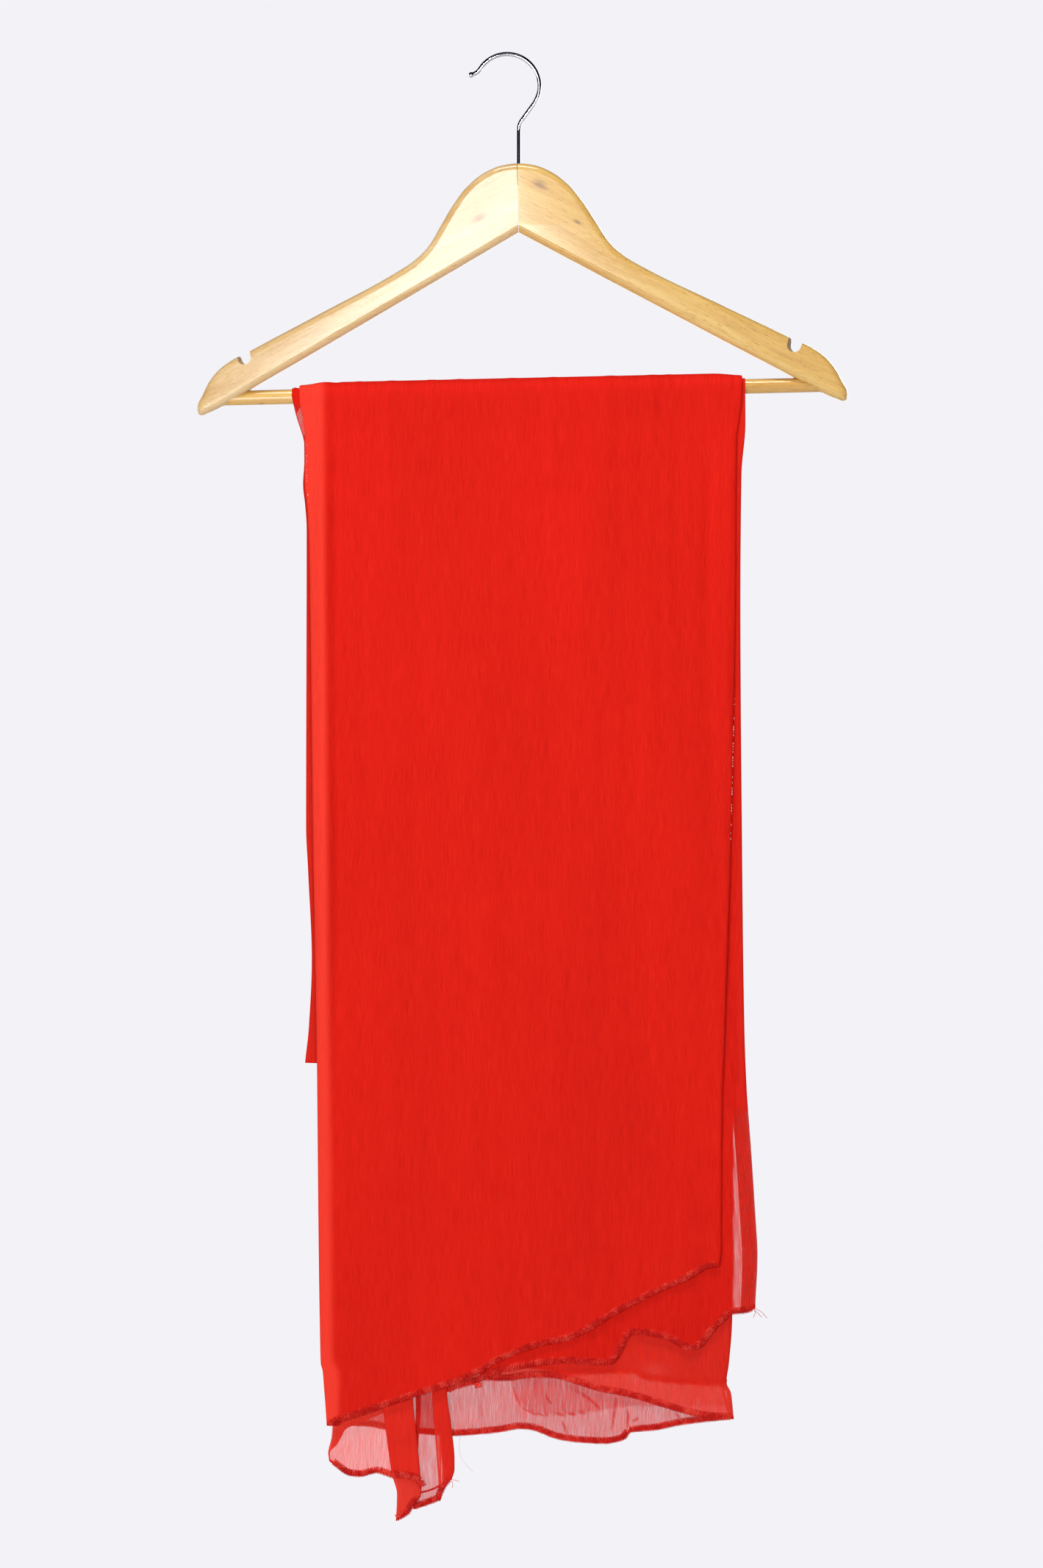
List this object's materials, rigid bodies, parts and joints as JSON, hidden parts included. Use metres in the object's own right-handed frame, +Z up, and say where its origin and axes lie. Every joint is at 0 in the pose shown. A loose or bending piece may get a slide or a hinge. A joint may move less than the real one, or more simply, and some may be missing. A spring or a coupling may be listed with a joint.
{
  "type": "dupatta stole on a wooden hanger",
  "caption": "Red chiffon dupatta stole folded over the bar of a wooden coat hanger with a bent wire hook, its overlocked ends hanging unevenly in front.",
  "frame": {"origin": "inside top of the hook's arc, where a rail carries the hanger", "axes": "+Z up along the hang, +X to the right arm as seen from the front, the stole's front faces -Y"},
  "size_m": [0.4442, 0.0328, 1.0002],
  "materials": {
    "chiffon": "sheer crepe chiffon with a soft sheen",
    "lacquered_wood": "pale wood under clear gloss lacquer",
    "bright_wire": "bright plated wire"
  },
  "bodies": {
    "root": {"front_panel": "chiffon", "second_layer": "chiffon", "third_layer": "chiffon", "fourth_layer": "chiffon", "corner_flap": "chiffon", "tail_gore": "chiffon", "left_strip": "chiffon", "right_strip": "chiffon", "back_fall": "chiffon", "left_arm": "lacquered_wood", "right_arm": "lacquered_wood", "bar": "lacquered_wood", "hook": "bright_wire"}
  },
  "joints": []
}
